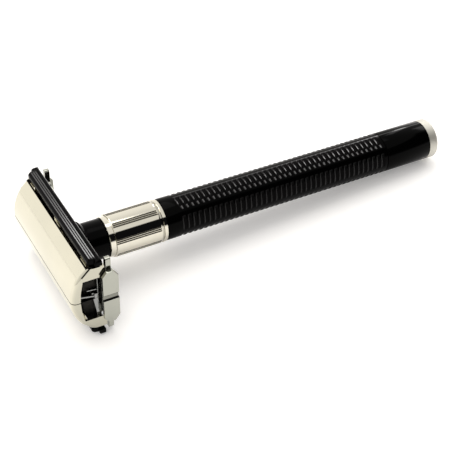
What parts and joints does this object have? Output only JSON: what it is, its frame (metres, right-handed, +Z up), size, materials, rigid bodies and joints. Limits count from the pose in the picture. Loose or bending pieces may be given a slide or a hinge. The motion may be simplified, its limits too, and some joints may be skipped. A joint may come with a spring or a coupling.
{
  "type": "safety razor",
  "caption": "Twist-to-open adjustable safety razor: butterfly cap doors, black guard bar, fluted nickel dial, long ribbed black handle and twist knob.",
  "frame": {"origin": "bottom centre of the box round the razor as it lies on a table, on its guard and the rim of its knob", "axes": "+X towards the knob end, +Y along the head bar, +Z up; the handle's axis slopes down 3.3 degrees towards +X"},
  "size_m": [0.1218, 0.0444, 0.0246],
  "materials": {
    "chrome_head": "polished",
    "nickel_dial": "polished nickel",
    "black_guard": "gloss",
    "black_handle": "gloss enamel",
    "satin_cap": "satin turned",
    "steel_inside": "machined",
    "spring_steel": "drawn wire",
    "brass_inside": "machined"
  },
  "bodies": {
    "frame": {"base_frame": "chrome_head", "end_plate_near": "chrome_head", "end_plate_far": "chrome_head", "platform_rivets": "chrome_head", "blade_platform": "chrome_head", "inner_tube": "steel_inside", "neck": "black_handle", "front_bush": "brass_inside", "spring_stop": "brass_inside", "lift_spring": "spring_steel", "front_plug": "brass_inside", "detent_ball": "steel_inside", "detent_spring": "spring_steel", "handle_sleeve": "black_handle", "end_bearing": "brass_inside"},
    "guard": {"guard": "black_guard", "guard_pins": "steel_inside", "guard_carrier": "brass_inside"},
    "dial": {"dial": "nickel_dial", "dial_nut": "brass_inside"},
    "knob": {"knob": "black_handle", "knob_cap": "satin_cap", "knob_hub": "steel_inside", "retaining_ring": "steel_inside"},
    "lifter": {"lifter_bar": "chrome_head", "hinge_pins": "steel_inside", "lifter_rod": "steel_inside", "rod_collar": "steel_inside"},
    "door_upper": {"door_upper": "chrome_head"},
    "door_lower": {"door_lower": "chrome_head"}
  },
  "joints": [
    {"name": "knob_twist", "type": "hinge", "parent": "frame", "child": "knob", "pos_m": [-0.06085, 0, 0.0127], "axis": [0.9984, 0, -0.0573], "range_deg": [0, 540]},
    {"name": "lifter_rise", "type": "slide", "parent": "frame", "child": "lifter", "axis": [-0.9984, 0, 0.0573], "range_m": [0, 0.006]},
    {"name": "door_upper_swing", "type": "hinge", "parent": "lifter", "child": "door_upper", "pos_m": [-0.05315, 0, 0.01947], "axis": [0, 1, 0], "range_deg": [0, 84]},
    {"name": "door_lower_swing", "type": "hinge", "parent": "lifter", "child": "door_lower", "pos_m": [-0.05397, 0, 0.00509], "axis": [0, -1, 0], "range_deg": [0, 84]},
    {"name": "dial_turn", "type": "hinge", "parent": "frame", "child": "dial", "pos_m": [-0.06085, 0, 0.0127], "axis": [0.9984, 0, -0.0573], "range_deg": [0, 270]},
    {"name": "guard_lift", "type": "slide", "parent": "frame", "child": "guard", "axis": [-0.9984, 0, 0.0573], "range_m": [0, 0.0006]}
  ],
  "couplings": [
    {"joint": "lifter_rise", "follows": "knob_twist", "m_per_rad": 0.00063661},
    {"joint": "door_upper_swing", "follows": "knob_twist", "ratio": 0.15555},
    {"joint": "door_lower_swing", "follows": "knob_twist", "ratio": 0.15555},
    {"joint": "guard_lift", "follows": "dial_turn", "m_per_rad": 0.00012732}
  ]
}
